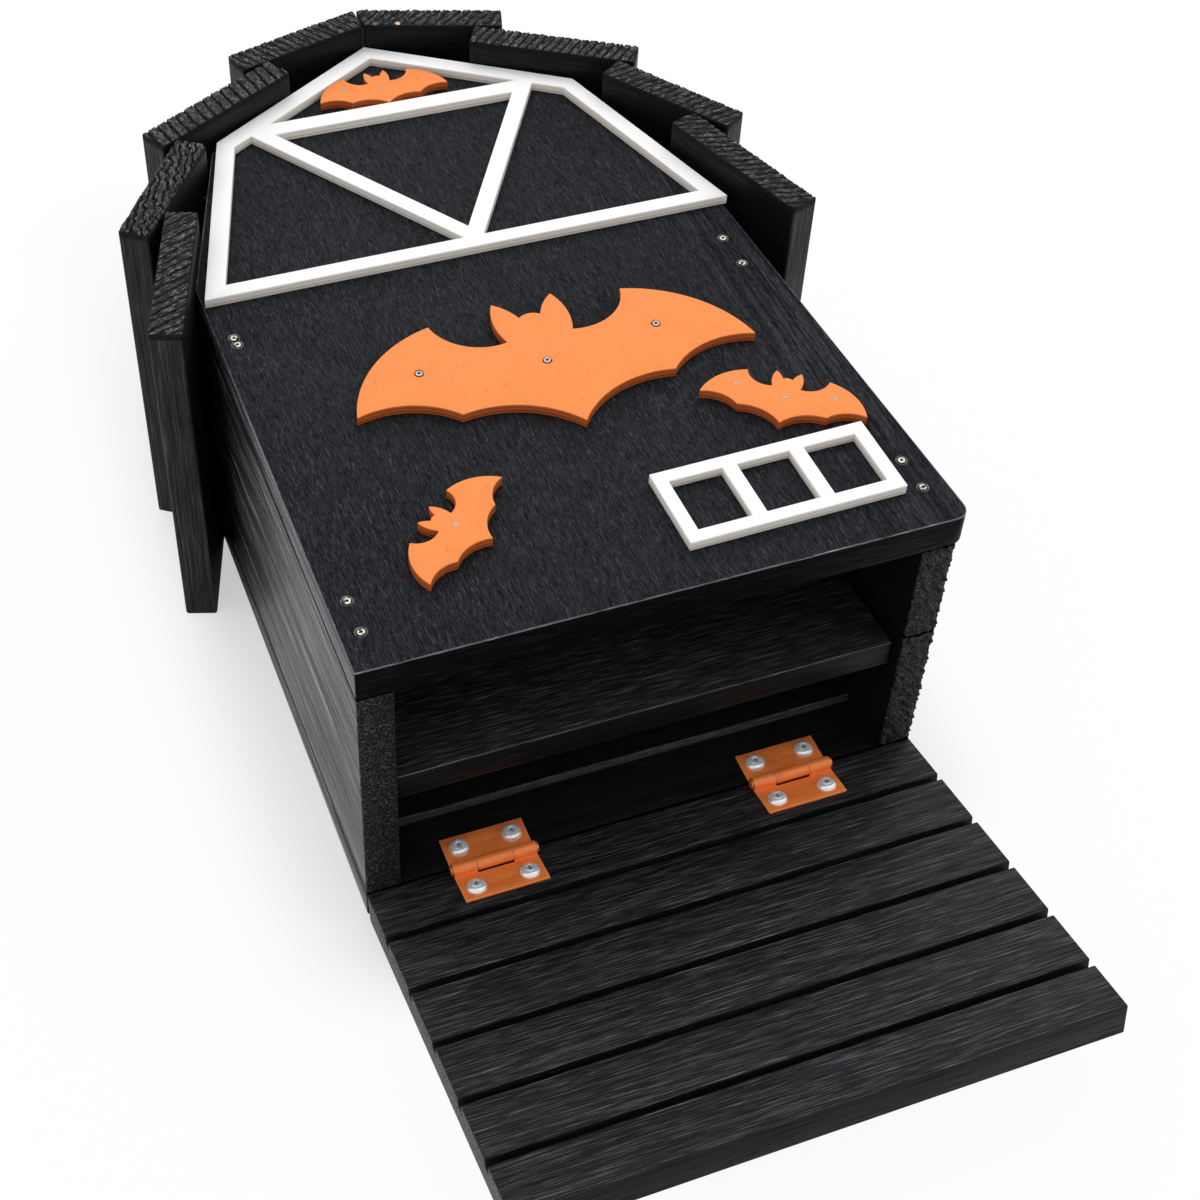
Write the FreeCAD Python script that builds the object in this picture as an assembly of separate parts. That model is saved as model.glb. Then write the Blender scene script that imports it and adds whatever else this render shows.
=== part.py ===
"""Barn-shaped bat box with a hinged landing flap, lying on its back.

Millimetres. X runs across the box, Y runs up towards the ridge and Z comes out of
the front. The sizes count Y from the bottom edge of the back board and Z from its
back. The flap is drawn in line with the back board and then raised to its stop.
Each function returns one piece. All pieces are moved together at the end, so that
the middle of the part's bottom is the origin, and each goes to its own STEP file.
"""
import FreeCAD
import Part
import math
import os

# Box: the right wall and the front board's right edge lean in towards the roof
body_width = 305.0
board = 18.0
chamber_depth = 149.0
wall_seam_height = 86.5
panel_overhang = 5.9
panel_corner_radius = 8.0
right_lean = math.radians(3.25)

# Gable outline, from its middle line
gable_shift = -3.0
eaves_height = 283.5
knee_half_width = 111.2
knee_height = 398.4
apex_height = 469.3

# Roof boards: from the eaves up, their widths and where their tops lie
roof_board = 17.5
roof_front_reach = 20.25
roof_edge_radius = 1.6
roof_widths = (101.5, 86.5, 99.0, 82.7)
first_top_rise = 38.4
second_top_drop = 18.4
third_top_reach = 54.5
ridge_half_gap = 0.8

# Inside
liner_thickness = 6.0
liner_start = 34.5
liner_end = 330.0
liner_side_gap = 0.3
partition_thickness = 16.0
partition_level = 81.5
partition_recess = 5.0
partition_length = 290.0
partition_end_gap = 3.0

# Landing flap: its grooves part it into strips, and the last strip is narrower
flap_length = 212.0
flap_strips = 6
strip_width = 31.7
groove_width = 4.3
groove_pitch = 36.9
groove_depth = 5.5
flap_end_radius = 3.0
flap_stop_angle = 12.0
flap_stop_gap = 0.2

# Applied trim
trim_thickness = 5.5
truss_apex_drop = 0.3
truss_knee_inset = 3.7
truss_knee_rise = 2.0
truss_foot_inset = 0.9
truss_sill_drop = 17.1
sill_strip = 9.2
post_strip = 10.2
rafter_strip = 10.4
tie_strip = 11.0
tie_rise = 10.8
brace_strip = 9.6
brace_setback_left = 11.5
brace_setback_right = 17.5
brace_foot_shift = 2.4
window_width = 115.7
window_height = 49.4
window_centre = (75.8, 47.6)
window_turn = 1.0
window_rail = 7.3
window_bar = 7.8

# Bats: middle between the wing tips, half span and turn
large_bat_middle = (3.8, 153.5)
large_bat_half_span = 107.4
large_bat_turn = -0.6
right_bat_middle = (101.4, 97.4)
right_bat_half_span = 42.7
right_bat_turn = -32.2
lower_bat_middle = (-77.5, 64.3)
lower_bat_half_span = 39.5
lower_bat_turn = 45.8
gable_bat_shift = -5.6
gable_bat_rise = 10.5
gable_bat_half_span = 38.6
gable_bat_turn = -0.5

# Bat outline as shares of the half span
bat_horn_share = (0.493, 0.520)
bat_neck_share = (0.167, 0.300)
bat_ear_share = (0.153, 0.588)
bat_ear_root_share = (0.055, 0.455)
bat_crown_share = 0.475
bat_tip_share = (1.0, 0.0)
bat_scallop_share = (0.530, -0.124)
bat_tail_share = 0.335
gable_bat_tail_share = 0.262
bat_lead_bow_share = 0.105
bat_shoulder_bow_share = 0.085
bat_scallop_bow_share = 0.075
bat_tail_bow_share = 0.085
bat_outer_ear_bow_share = 0.030
bat_inner_ear_bow_share = 0.012

# Butt hinges, set off the joint between back board and flap towards the flap
hinge_places = (-86.3, 79.6)
hinge_length = 44.5
hinge_reach = 21.5
hinge_offset = 3.2
leaf_thickness = 1.4
knuckle_radius = 3.5
knuckle_lift = 0.1
middle_knuckle = 18.9
knuckle_gap = 0.3
leaf_relief = 0.4
pin_radius = 1.7
pin_clearance = 0.05
pin_head_radius = 2.5
pin_head_thickness = 0.8
hinge_screw_spacing = 28.4
hinge_screw_reach = 13.8

# Screws and brads
pan_head_radius = 4.7
pan_head_height = 2.9
pan_shank_radius = 1.75
pan_shank_length = 14.0
trim_head_radius = 2.6
trim_head_height = 2.0
trim_shank_radius = 1.5
panel_screw_length = 45.0
bat_screw_length = 14.0
back_screw_length = 45.0
wall_screw_length = 40.0
brad_width = 1.3
brad_thickness = 1.1
brad_length = 38.0
roof_brad_rows = ((8.0, 22.0), (10.0,), (10.0,), (14.0,))
panel_screws_left = ((23.2, 1.2), (43.5, 0.8), (233.4, 0.2), (238.9, -0.2))
panel_screws_right = ((25.4, 2.0), (46.0, 2.0), (214.4, 0.5), (237.9, 0.8))
back_screw_rows = (24.0, 140.0, 256.0)
partition_screw_rows = (60.0, 250.0)
large_bat_screws = ((-0.637, 0.210), (-0.031, 0.118), (0.564, 0.213))
small_bat_screws = ((-0.585, 0.232), (0.004, 0.150), (0.590, 0.236))
lower_bat_screws = ((0.010, 0.154),)

# Hanging keyholes in the back
keyhole_spacing = 160.0
keyhole_height = 360.0
keyhole_entry_radius = 7.5
keyhole_slot_width = 6.0
keyhole_undercut_width = 10.0
keyhole_rise = 16.0
keyhole_lip = 4.0
keyhole_depth = 10.0

# Levels and places that follow
large_bat_place = (large_bat_middle, large_bat_half_span, large_bat_turn)
right_bat_place = (right_bat_middle, right_bat_half_span, right_bat_turn)
lower_bat_place = (lower_bat_middle, lower_bat_half_span, lower_bat_turn)
gable_bat_middle = (gable_bat_shift, knee_height + tie_rise + gable_bat_rise)
gable_bat_place = (gable_bat_middle, gable_bat_half_span, gable_bat_turn)
half_width = body_width / 2
wall_top = board + chamber_depth
front_level = wall_top + board
trim_level = front_level + trim_thickness
panel_right = half_width + panel_overhang
gable_half_width = half_width + gable_shift
roof_depth = front_level + roof_front_reach
stop_angle = math.radians(flap_stop_angle)
pin_y = -hinge_offset
pin_z = board + knuckle_lift + knuckle_radius
pin_drop = pin_z - board
flap_end = pin_y + (hinge_offset - flap_stop_gap + pin_drop * math.sin(stop_angle)) / math.cos(stop_angle)
back_brad_level = board / 2
front_brad_level = wall_top + board / 2
brad_levels = (back_brad_level, front_brad_level)
cut_margin = 1.0
touch = 0.01

X = FreeCAD.Vector(1, 0, 0)
Y = FreeCAD.Vector(0, 1, 0)
Z = FreeCAD.Vector(0, 0, 1)


def vec(x, y, z=0.0):
    return FreeCAD.Vector(x, y, z)


def slab(outline, low, high):
    """A flat board: a closed outline in X and Y, lifted from low to high."""
    wire = Part.makePolygon([vec(x, y, low) for x, y in outline + outline[:1]])
    return Part.Face(wire).extrude(vec(0, 0, high - low))


def block(left, right, front, back, low, high):
    """A squared board between two X, two Y and two Z values."""
    return Part.makeBox(right - left, back - front, high - low, vec(left, front, low))


def upright_edges(shape, places):
    """Edges along Z that stand at one of the places."""
    found = []
    for edge in shape.Edges:
        ends = [vertex.Point for vertex in edge.Vertexes]
        if len(ends) == 2 and any(stands_at(ends, place) for place in places):
            found.append(edge)
    return found


def stands_at(ends, place):
    return all(math.hypot(end.x - place[0], end.y - place[1]) < touch for end in ends)


# Lines in X and Y, each a point and a direction

def line_through(start, end):
    run = (end[0] - start[0], end[1] - start[1])
    length = math.hypot(run[0], run[1])
    return start, (run[0] / length, run[1] / length)


def line_offset(start, end, distance):
    """The line from start to end, moved to its right hand side."""
    start, unit = line_through(start, end)
    return (start[0] + unit[1] * distance, start[1] - unit[0] * distance), unit


def level_line(height):
    return (0.0, height), (1.0, 0.0)


def crossing(first, second):
    """Point where two lines cross."""
    (x1, y1), (u1, v1) = first
    (x2, y2), (u2, v2) = second
    share = ((x2 - x1) * v2 - (y2 - y1) * u2) / (u1 * v2 - v1 * u2)
    return (x1 + share * u1, y1 + share * v1)


def mirrored(points):
    """The points seen on the other side of the gable's middle."""
    return [(-x, y) for x, y in points]


def placed(points):
    """Points given from the gable's middle, in the part's frame."""
    return [(x + gable_shift, y) for x, y in points]


# Gable: two slopes on each side of its middle, and the leaning right side

eaves = (gable_half_width, eaves_height)
knee = (knee_half_width, knee_height)
apex = (0.0, apex_height)


def leaning_line(foot):
    """Line that leans like the right side, from a foot on the bottom edge."""
    return (foot, 0.0), (-math.sin(right_lean), math.cos(right_lean))


def leaning_x(foot, height):
    return foot - height * math.tan(right_lean)


def right_eaves(foot):
    """Where a leaning edge from the foot meets the right lower slope."""
    slope = line_through(*placed([knee, eaves]))
    return crossing(slope, leaning_line(foot))


def board_outline(right_foot):
    """A gable board: square on the left, leaning on the right, two slopes above."""
    outline = [(-half_width, 0.0), (right_foot, 0.0), right_eaves(right_foot)]
    return outline + placed([knee, apex] + mirrored([knee])) + [(-half_width, eaves_height)]


def front_panel():
    panel = slab(board_outline(panel_right), wall_top, front_level)
    panel = panel.makeFillet(panel_corner_radius, upright_edges(panel, [(panel_right, 0.0)]))
    holes = [screw_hole(place, trim_head_radius) for place in panel_screw_places()]
    holes += [shank_hole(place, trim_shank_radius) for place in bat_screw_places()]
    return panel.cut(holes + brads((front_brad_level,)))


def back_panel():
    panel = slab(board_outline(half_width), 0.0, board)
    holes = [keyhole(gable_shift + side * keyhole_spacing / 2) for side in (-1, 1)]
    holes += [screw_hole(place, trim_head_radius) for place in back_screw_places()]
    holes += [shank_hole(place, pan_shank_radius) for place in hinge_screw_places(1)]
    return panel.cut(holes + brads((back_brad_level,)))


def keyhole(x):
    """Round entry, narrow slot towards the ridge and the wider undercut behind it."""
    top = keyhole_height + keyhole_rise
    entry = Part.makeCylinder(keyhole_entry_radius, keyhole_depth, vec(x, keyhole_height, 0), Z)
    slot = stadium(x, keyhole_height, top, keyhole_slot_width, 0.0, keyhole_depth)
    undercut = stadium(x, keyhole_height, top, keyhole_undercut_width, keyhole_lip, keyhole_depth)
    return entry.fuse([slot, undercut]).removeSplitter()


def stadium(x, start, end, width, low, high):
    """A slot along Y with round ends."""
    middle = block(x - width / 2, x + width / 2, start, end, low, high)
    first = Part.makeCylinder(width / 2, high - low, vec(x, start, low), Z)
    last = Part.makeCylinder(width / 2, high - low, vec(x, end, low), Z)
    return middle.fuse([first, last]).removeSplitter()


# Walls and inside boards

def left_wall():
    wall = block(-half_width, -half_width + board, 0.0, eaves_height, board, wall_top)
    return wall.cut(wall_screw_shanks())


def right_wall_rear():
    return right_wall_board(board, board + wall_seam_height)


def right_wall_front():
    return right_wall_board(board + wall_seam_height, wall_top)


def right_wall_board(low, high):
    top = right_eaves(panel_right)[1]
    outline = leaning_outline(half_width - board, half_width, 0.0, top)
    wall = slab(outline, low, high).cut(wall_screw_shanks())
    return wall.cut([screw_hole(place, trim_head_radius) for place in partition_screw_places()])


def leaning_outline(left_foot, right_foot, start, end):
    """Between two leaning edges."""
    lower = [(leaning_x(left_foot, start), start), (leaning_x(right_foot, start), start)]
    return lower + [(leaning_x(right_foot, end), end), (leaning_x(left_foot, end), end)]


def inner_outline(gap_left, gap_right, start, end):
    """Between the walls, square on the left and leaning on the right."""
    left = -half_width + board + gap_left
    foot = half_width - board - gap_right
    return [(left, start), (leaning_x(foot, start), start), (leaning_x(foot, end), end), (left, end)]


def wall_screw_shanks():
    """Shanks of the screws that hold the front and the back to the walls."""
    return [shank_hole(place, trim_shank_radius) for place in panel_screw_places() + back_screw_places()]


def back_liner():
    outline = inner_outline(liner_side_gap, liner_side_gap, liner_start, liner_end)
    return slab(outline, board, board + liner_thickness)


def partition():
    outline = inner_outline(0.0, partition_end_gap, partition_recess, partition_recess + partition_length)
    piece = slab(outline, partition_level, partition_level + partition_thickness)
    return piece.cut([shank_hole(place, trim_shank_radius) for place in partition_screw_places()])


# Lapped roof: each board's top corner is on the gable and it leans on the board below

def on_lower_slope(height):
    """Point of the lower slope at a height, from the gable's middle."""
    return crossing(line_through(knee, eaves), level_line(height))


def on_upper_slope(reach):
    """Point of the upper slope at a distance from the gable's middle."""
    return crossing(line_through(apex, knee), ((reach, 0.0), (0.0, 1.0)))


def lean_between(high, low):
    """Angle of a slope below the level."""
    return math.atan2(high[1] - low[1], low[0] - high[0])


def roof_layout():
    """Inner top corner and lean of the four boards of one side, from the eaves up.

    A board leans on the one below, or on the gable's knee where it meets that first.
    """
    corners = [on_lower_slope(eaves_height + first_top_rise)]
    corners += [on_lower_slope(knee_height - second_top_drop)]
    corners += [on_upper_slope(third_top_reach), apex]
    layout = [(corners[0], lean_between(knee, eaves))]
    for corner in corners[1:]:
        (x, y), lean = layout[-1]
        support = (x + roof_board * math.sin(lean), y + roof_board * math.cos(lean))
        leans = [lean_between(corner, support)]
        if corner[1] > knee_height:
            leans.append(lean_between(corner, knee))
        layout.append((corner, min(leans)))
    return layout


def board_point(index, along, across):
    """Point of a roof board's section, along and across from its inner top corner."""
    (x, y), lean = roof_layout()[index]
    return (
        x + along * math.cos(lean) + across * math.sin(lean),
        y - along * math.sin(lean) + across * math.cos(lean),
    )


def roof_section(index):
    """Section of a roof board: the top pair is cut upright where it meets its twin."""
    width = roof_widths[index]
    tops = [(0.0, roof_board), (0.0, 0.0)]
    if index == len(roof_widths) - 1:
        lean = roof_layout()[index][1]
        shift = ridge_half_gap / math.cos(lean)
        tops = [(shift - roof_board * math.tan(lean), roof_board), (shift, 0.0)]
    spots = tops + [(width, 0.0), (width, roof_board)]
    return [board_point(index, along, across) for along, across in spots]


def roof_board_piece(index, side):
    section = roof_section(index)
    if side < 0:
        section = mirrored(section)[::-1]
    section = placed(section)
    piece = slab(section, 0.0, roof_depth)
    piece = piece.makeFillet(roof_edge_radius, upright_edges(piece, section))
    return piece.cut([brad(place) for place in brad_places(index, side, brad_levels)])


def brad_places(index, side, levels):
    """Brads of a board near its top edge: head centre and lean, for each level."""
    lean = side * roof_layout()[index][1]
    places = []
    for along in roof_brad_rows[index]:
        x, y = board_point(index, along, roof_board)
        places += [(vec(side * x + gable_shift, y, level), lean) for level in levels]
    return places


def brads(levels):
    """Every roof brad at the given levels, flush with the boards' outer faces."""
    sides = [(index, side) for index in range(len(roof_widths)) for side in (-1, 1)]
    return [brad(place) for index, side in sides for place in brad_places(index, side, levels)]


def brad(place):
    """A square-cut brad, driven square to its board."""
    head, lean = place
    piece = block(-brad_width / 2, brad_width / 2, -brad_length, 0.0, -brad_thickness / 2, brad_thickness / 2)
    piece.rotate(vec(0, 0), Z, -math.degrees(lean))
    piece.translate(head)
    return piece


# Applied trim

def brace_sides(setback, foot_shift, tie_low, inner_rafter, sill_top):
    """Both edges of a brace, from the tie down to the sill, for the right hand side."""
    head_x, head_y = crossing(tie_low, inner_rafter)
    head = (head_x - setback, head_y)
    foot = (foot_shift, sill_top)
    return line_offset(head, foot, brace_strip / 2), line_offset(head, foot, -brace_strip / 2)


def truss_trim():
    """One sheet: sill, two posts, two rafters, a tie and two braces to the sill."""
    middle = ((0.0, 0.0), (0.0, 1.0))
    sill_height = eaves_height - truss_sill_drop
    tie_height = knee_height + tie_rise
    foot = (gable_half_width - truss_foot_inset, sill_height)
    shoulder = (knee_half_width - truss_knee_inset, knee_height + truss_knee_rise)
    peak = (0.0, apex_height - truss_apex_drop)
    outline = [foot, shoulder, peak] + mirrored([shoulder, foot])

    inner_post = line_offset(shoulder, foot, post_strip)
    inner_rafter = line_offset(peak, shoulder, rafter_strip)
    tie_top = level_line(tie_height)
    tie_low = level_line(tie_height - tie_strip)
    sill_top = level_line(sill_height + sill_strip)
    rules = (tie_low, inner_rafter, sill_height + sill_strip)
    right = brace_sides(brace_setback_right, brace_foot_shift, *rules)
    left = brace_sides(brace_setback_left, -brace_foot_shift, *rules)

    above_tie = [crossing(tie_top, inner_rafter), crossing(inner_rafter, middle)]
    openings = [above_tie + mirrored(above_tie[:1]), valley_opening(right[0], left[0], tie_low)]
    for number, (_, outer_edge) in enumerate((right, left)):
        side = [crossing(sill_top, outer_edge), crossing(sill_top, inner_post)]
        side += [crossing(inner_post, inner_rafter), crossing(inner_rafter, outer_edge)]
        openings.append(side if number == 0 else mirrored(side))
    sheet = slab(placed(outline), front_level, trim_level)
    low = front_level - cut_margin
    high = trim_level + cut_margin
    return sheet.cut([slab(placed(hole), low, high) for hole in openings])


def valley_opening(right_edge, left_edge, tie_low):
    """The middle triangle between the tie and the two braces."""
    right_top = crossing(tie_low, right_edge)
    left_top = mirrored([crossing(tie_low, left_edge)])[0]
    (x, y), (u, v) = left_edge
    foot = crossing(right_edge, ((-x, y), (-u, v)))
    return [right_top, left_top, foot]


def window_trim():
    """One sheet with three panes, set slightly askew."""
    x, y = window_centre
    left = x - window_width / 2
    low = y - window_height / 2
    high = low + window_height
    sheet = block(left, left + window_width, low, high, front_level, trim_level)
    pane = (window_width - 2 * window_rail - 2 * window_bar) / 3
    for number in range(3):
        start = left + window_rail + number * (pane + window_bar)
        sheet = sheet.cut(block(start, start + pane, low + window_rail, high - window_rail,
                                front_level - cut_margin, trim_level + cut_margin))
    sheet.rotate(vec(x, y), Z, window_turn)
    return sheet


# Bats

def bowed(start, end, bow):
    """An arc from start to end that bulges to the left of its run by bow."""
    run = (end[0] - start[0], end[1] - start[1])
    length = math.hypot(run[0], run[1])
    across = (-run[1] / length * bow, run[0] / length * bow)
    middle = ((start[0] + end[0]) / 2 + across[0], (start[1] + end[1]) / 2 + across[1])
    return Part.Arc(vec(*start), vec(*middle), vec(*end)).toShape()


def bat_right_half(tail):
    """Arcs of the right half of the outline, from the ear's root to the tail."""
    return (
        (bat_ear_root_share, bat_ear_share, bat_inner_ear_bow_share),
        (bat_ear_share, bat_neck_share, bat_outer_ear_bow_share),
        (bat_neck_share, bat_horn_share, -bat_shoulder_bow_share),
        (bat_horn_share, bat_tip_share, bat_lead_bow_share),
        (bat_tip_share, bat_scallop_share, -bat_scallop_bow_share),
        (bat_scallop_share, (0.0, -tail), -bat_tail_bow_share),
    )


def bat(place, screws, tail=bat_tail_share):
    """A bat cut from sheet: a round head between two ears, and scalloped wings."""
    (x, y), half_span, turn = place
    root_x, root_y = bat_ear_root_share
    edges = [Part.Arc(vec(-root_x, root_y), vec(0.0, bat_crown_share), vec(root_x, root_y)).toShape()]
    for start, end, bow in bat_right_half(tail):
        edges.append(bowed(start, end, bow))
        edges.append(bowed((-end[0], end[1]), (-start[0], start[1]), bow))
    face = Part.Face(Part.Wire(Part.__sortEdges__(edges)))
    face.scale(half_span)
    face.rotate(vec(0, 0), Z, turn)
    face.translate(vec(x, y, front_level))
    piece = face.extrude(vec(0, 0, trim_thickness))
    return piece.cut([screw_hole(spot, trim_head_radius) for spot in bat_screw_spots(place, screws)])


def bat_screw_spots(place, screws):
    """Head centre, direction and length of the screws of one bat."""
    (x, y), half_span, turn = place
    angle = math.radians(turn)
    spots = []
    for along, up in screws:
        dx = half_span * (along * math.cos(angle) - up * math.sin(angle))
        dy = half_span * (along * math.sin(angle) + up * math.cos(angle))
        spots.append((vec(x + dx, y + dy, trim_level), vec(0, 0, -1), bat_screw_length))
    return spots


def bat_screw_places():
    places = bat_screw_spots(large_bat_place, large_bat_screws)
    places += bat_screw_spots(right_bat_place, small_bat_screws)
    places += bat_screw_spots(lower_bat_place, lower_bat_screws)
    return places + bat_screw_spots(gable_bat_place, small_bat_screws)


# Screws: each place is a head centre, the inward direction and a length

def wall_middle(side, height):
    """X of the middle of a wall's thickness."""
    foot = half_width - board / 2
    return leaning_x(foot, height) if side > 0 else -foot


def panel_screw_places():
    """Each screw is given by its height and how far it is off the wall's middle."""
    places = []
    for side, screws in ((-1, panel_screws_left), (1, panel_screws_right)):
        for row, shift in screws:
            head = vec(wall_middle(side, row) + shift, row, front_level)
            places.append((head, -Z, panel_screw_length))
    return places


def back_screw_places():
    rows = [(side, row) for side in (-1, 1) for row in back_screw_rows]
    return [(vec(wall_middle(side, row), row, 0), Z, back_screw_length) for side, row in rows]


def partition_screw_places():
    """Screws through the leaning wall, square to it, into the partition's edge."""
    level = partition_level + partition_thickness / 2
    inward = vec(-math.cos(right_lean), -math.sin(right_lean), 0)
    heads = [vec(leaning_x(half_width, row), row, level) for row in partition_screw_rows]
    return [(head, inward, wall_screw_length) for head in heads]


def screw_hole(place, head_radius):
    """The room of a flat-headed screw: countersunk head and shank."""
    head, inward, _ = place
    cone = Part.makeCone(head_radius, trim_shank_radius, trim_head_height, head, inward)
    return cone.fuse(shank_hole(place, trim_shank_radius)).removeSplitter()


def shank_hole(place, radius):
    head, inward, length = place
    return Part.makeCylinder(radius, length, head, inward)


def flat_screws(places):
    return Part.makeCompound([screw_hole(place, trim_head_radius) for place in places])


def hinge_screw_places(side):
    """Pan-head screws on the leaves: side 1 is the back board, -1 the flap laid flat."""
    y = pin_y + side * hinge_screw_reach
    places = []
    for x in hinge_places:
        for end in (-1, 1):
            seat = vec(x + end * hinge_screw_spacing / 2, y, board + leaf_thickness)
            places.append((seat, -Z, pan_shank_length))
    return places


def pan_screw(place):
    """Domed head on the leaf and a shank into the board."""
    seat, _, _ = place
    radius = (pan_head_radius ** 2 + pan_head_height ** 2) / (2 * pan_head_height)
    ball = Part.makeSphere(radius, seat - vec(0, 0, radius - pan_head_height))
    dome = ball.common(Part.makeCylinder(radius, pan_head_height, seat, Z))
    return dome.fuse(shank_hole(place, pan_shank_radius)).removeSplitter()


# Butt hinges

def leaf(x, side):
    """One leaf laid flat: the back leaf has the middle knuckle, the flap leaf the others."""
    start = x - hinge_length / 2
    end = x + hinge_length / 2
    high = board + leaf_thickness
    clear = knuckle_radius + leaf_relief
    spans = knuckle_spans(x)
    own = spans[1:2] if side > 0 else spans[::2]
    piece = across_block(start, end, side * clear, side * hinge_reach, board, high)
    for first, last in own:
        strip = across_block(first, last, 0.0, side * clear, board, high)
        barrel = Part.makeCylinder(knuckle_radius, last - first, vec(first, pin_y, pin_z), X)
        piece = piece.fuse([strip, barrel])
    bore = pin_radius if side > 0 else pin_radius + pin_clearance
    holes = [Part.makeCylinder(bore, hinge_length, vec(start, pin_y, pin_z), X)]
    for place in hinge_screw_places(side):
        if abs(place[0].x - x) < hinge_length / 2:
            holes.append(shank_hole(place, pan_shank_radius))
    return piece.removeSplitter().cut(holes)


def across_block(left, right, first, second, low, high):
    """A block whose Y values are given from the pin, in either order."""
    near, far = sorted((first, second))
    return block(left, right, pin_y + near, pin_y + far, low, high)


def knuckle_spans(x):
    """X ranges of the three knuckles with a running gap between them."""
    half = hinge_length / 2
    inner = middle_knuckle / 2
    return [(x - half, x - inner - knuckle_gap), (x - inner, x + inner), (x + inner + knuckle_gap, x + half)]


def hinge_pin(x):
    """Pin through all knuckles, with a small head at each end."""
    reach = hinge_length / 2 + knuckle_gap
    pin = Part.makeCylinder(pin_radius, 2 * reach, vec(x - reach, pin_y, pin_z), X)
    for start in (x - reach - pin_head_thickness, x + reach):
        pin = pin.fuse(Part.makeCylinder(pin_head_radius, pin_head_thickness, vec(start, pin_y, pin_z), X))
    return pin.removeSplitter()


# Landing flap

def landing_flap():
    """One board with cross grooves that part it into strips, laid flat."""
    flap = block(-half_width, half_width, flap_end - flap_length, flap_end, 0.0, board)
    lower = [edge for edge in flap.Edges if lies_at(edge, flap_end, 0.0)]
    flap = flap.makeFillet(flap_end_radius, lower)
    reach = half_width + cut_margin
    low = board - groove_depth
    for number in range(flap_strips - 1):
        near = flap_end - strip_width - number * groove_pitch
        flap = flap.cut(block(-reach, reach, near - groove_width, near, low, board + cut_margin))
    return flap.cut([shank_hole(place, pan_shank_radius) for place in hinge_screw_places(-1)])


def lies_at(edge, y, z):
    """Whether an edge runs along X at a place."""
    ends = [vertex.Point for vertex in edge.Vertexes]
    return all(math.hypot(end.y - y, end.z - z) < touch for end in ends)


def raised(shape):
    """A piece of the flap, turned about the pins from flat to the flap's stop."""
    shape.rotate(vec(0, pin_y, pin_z), X, -flap_stop_angle)
    return shape


def pieces():
    """Every piece by name."""
    made = {
        "back_panel": back_panel(),
        "left_wall": left_wall(),
        "right_wall_rear": right_wall_rear(),
        "right_wall_front": right_wall_front(),
        "front_panel": front_panel(),
        "back_liner": back_liner(),
        "partition": partition(),
        "truss_trim": truss_trim(),
        "window_trim": window_trim(),
        "large_bat": bat(large_bat_place, large_bat_screws),
        "right_bat": bat(right_bat_place, small_bat_screws),
        "lower_bat": bat(lower_bat_place, lower_bat_screws),
        "gable_bat": bat(gable_bat_place, small_bat_screws, gable_bat_tail_share),
        "front_panel_screws": flat_screws(panel_screw_places()),
        "back_screws": flat_screws(back_screw_places()),
        "partition_screws": flat_screws(partition_screw_places()),
        "bat_screws": flat_screws(bat_screw_places()),
        "roof_nails": Part.makeCompound(brads(brad_levels)),
        "landing_flap": raised(landing_flap()),
        "back_leaf_screws": Part.makeCompound([pan_screw(place) for place in hinge_screw_places(1)]),
        "flap_leaf_screws": raised(Part.makeCompound([pan_screw(place) for place in hinge_screw_places(-1)])),
    }
    for name, x in zip(("left", "right"), hinge_places):
        made["hinge_back_leaf_" + name] = leaf(x, 1)
        made["hinge_flap_leaf_" + name] = raised(leaf(x, -1))
        made["hinge_pin_" + name] = hinge_pin(x)
    for index in range(len(roof_widths)):
        made["roof_board_left_%d" % (index + 1)] = roof_board_piece(index, -1)
        made["roof_board_right_%d" % (index + 1)] = roof_board_piece(index, 1)
    return made


def bottom_middle(made):
    """Middle of the bottom of the box round all pieces."""
    around = FreeCAD.BoundBox()
    for shape in made.values():
        around.add(shape.optimalBoundingBox(False))
    return vec(around.Center.x, around.Center.y, around.ZMin), around


def main():
    os.makedirs("parts", exist_ok=True)
    made = pieces()
    origin, around = bottom_middle(made)
    print("box   %.3f x %.3f x %.3f" % (around.XLength, around.YLength, around.ZLength))
    print("origin taken from  %.4f %.4f %.4f" % tuple(origin))
    print("pins at  %.4f %.4f" % (pin_y - origin.y, pin_z - origin.z))
    for name, shape in made.items():
        shape.translate(-origin)
        shape.exportStep("parts/" + name + ".step")
        print("%-24s solids %2d  volume %11.1f" % (name, len(shape.Solids), shape.Volume))


main()
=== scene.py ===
"""Bat box on its back with the landing flap folded open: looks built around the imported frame.

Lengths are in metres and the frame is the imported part's: X across the box, Y from the flap
up to the ridge, Z up from the floor to the decorated front.
"""

from __future__ import annotations

import logging
import math
from dataclasses import dataclass
from enum import Enum
from typing import Callable, Mapping, Sequence, Union

import bmesh
import bpy
import numpy as np
from mathutils import Matrix, Quaternion, Vector

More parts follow.
